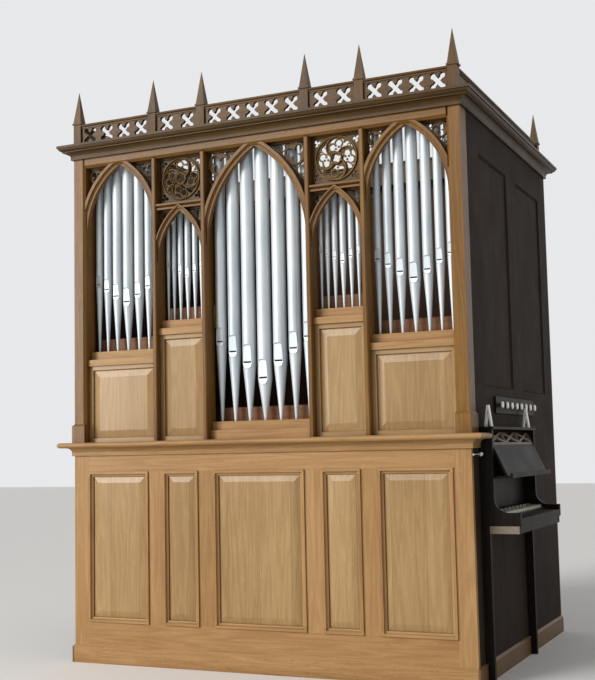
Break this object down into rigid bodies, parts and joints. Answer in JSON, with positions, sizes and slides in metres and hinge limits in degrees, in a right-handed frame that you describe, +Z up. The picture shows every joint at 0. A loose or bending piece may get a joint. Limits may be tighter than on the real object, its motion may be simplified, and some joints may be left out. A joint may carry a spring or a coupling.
{
  "type": "pipe organ",
  "caption": "Church pipe organ in a Gothic wooden case with pointed arches over display pipes, pierced parapet, pinnacles and a side keydesk with draw stops.",
  "frame": {"origin": "on the floor under the middle of the case's front, on the underside of the plinth", "axes": "+Z up, +Y from the front to the back, +X towards the keydesk side"},
  "size_m": [2.68, 2.062, 3.37],
  "materials": {
    "case_wood": "varnished",
    "panel_wood": "varnished",
    "inner_wood": "bare",
    "keydesk_wood": "varnished",
    "pipe_metal": "burnished tin",
    "key_white": "polished",
    "key_black": "polished",
    "stop_knob": "polished with a pale face",
    "lamp_white": "gloss",
    "lamp_metal": "polished"
  },
  "bodies": {
    "case": {"plinth": "case_wood", "lower_front_frame": "case_wood", "lower_front_panels": "panel_wood", "lower_panel_mouldings": "case_wood", "lower_left_side": "case_wood", "lower_right_side": "case_wood", "back_wall": "inner_wood", "impost": "case_wood", "end_posts": "case_wood", "mullions": "case_wood", "tall_arches": "case_wood", "small_arches": "case_wood", "tracery": "case_wood", "toe_boards": "case_wood", "upper_front_panels": "panel_wood", "pipes_bay_1": "pipe_metal", "pipes_bay_2": "pipe_metal", "pipes_bay_3": "pipe_metal", "pipes_bay_4": "pipe_metal", "pipes_bay_5": "pipe_metal", "rack_boards": "inner_wood", "upper_left_side": "case_wood", "upper_right_side": "case_wood", "side_panels": "case_wood", "cornice": "case_wood", "parapet_front": "case_wood", "parapet_sides": "case_wood", "pinnacles": "case_wood", "keydesk_cheeks": "keydesk_wood", "key_table": "keydesk_wood", "natural_keys": "key_white", "sharp_keys": "key_black", "keydesk_boards": "keydesk_wood", "music_desk": "keydesk_wood", "stop_jamb": "keydesk_wood", "desk_lamps": "lamp_white", "arm_lamp": "lamp_metal"},
    "stop_1": {"stop_1": "stop_knob"},
    "stop_2": {"stop_2": "stop_knob"},
    "stop_3": {"stop_3": "stop_knob"},
    "stop_4": {"stop_4": "stop_knob"},
    "stop_5": {"stop_5": "stop_knob"},
    "stop_6": {"stop_6": "stop_knob"},
    "stop_7": {"stop_7": "stop_knob"},
    "stop_8": {"stop_8": "stop_knob"}
  },
  "joints": [
    {"name": "stop_1_draw", "type": "slide", "parent": "case", "child": "stop_1", "axis": [1, 0, 0], "range_m": [0, 0.028]},
    {"name": "stop_2_draw", "type": "slide", "parent": "case", "child": "stop_2", "axis": [1, 0, 0], "range_m": [0, 0.028]},
    {"name": "stop_3_draw", "type": "slide", "parent": "case", "child": "stop_3", "axis": [1, 0, 0], "range_m": [0, 0.028]},
    {"name": "stop_4_draw", "type": "slide", "parent": "case", "child": "stop_4", "axis": [1, 0, 0], "range_m": [0, 0.028]},
    {"name": "stop_5_draw", "type": "slide", "parent": "case", "child": "stop_5", "axis": [1, 0, 0], "range_m": [0, 0.028]},
    {"name": "stop_6_draw", "type": "slide", "parent": "case", "child": "stop_6", "axis": [1, 0, 0], "range_m": [0, 0.028]},
    {"name": "stop_7_draw", "type": "slide", "parent": "case", "child": "stop_7", "axis": [1, 0, 0], "range_m": [0, 0.028]},
    {"name": "stop_8_draw", "type": "slide", "parent": "case", "child": "stop_8", "axis": [1, 0, 0], "range_m": [0, 0.028]}
  ]
}
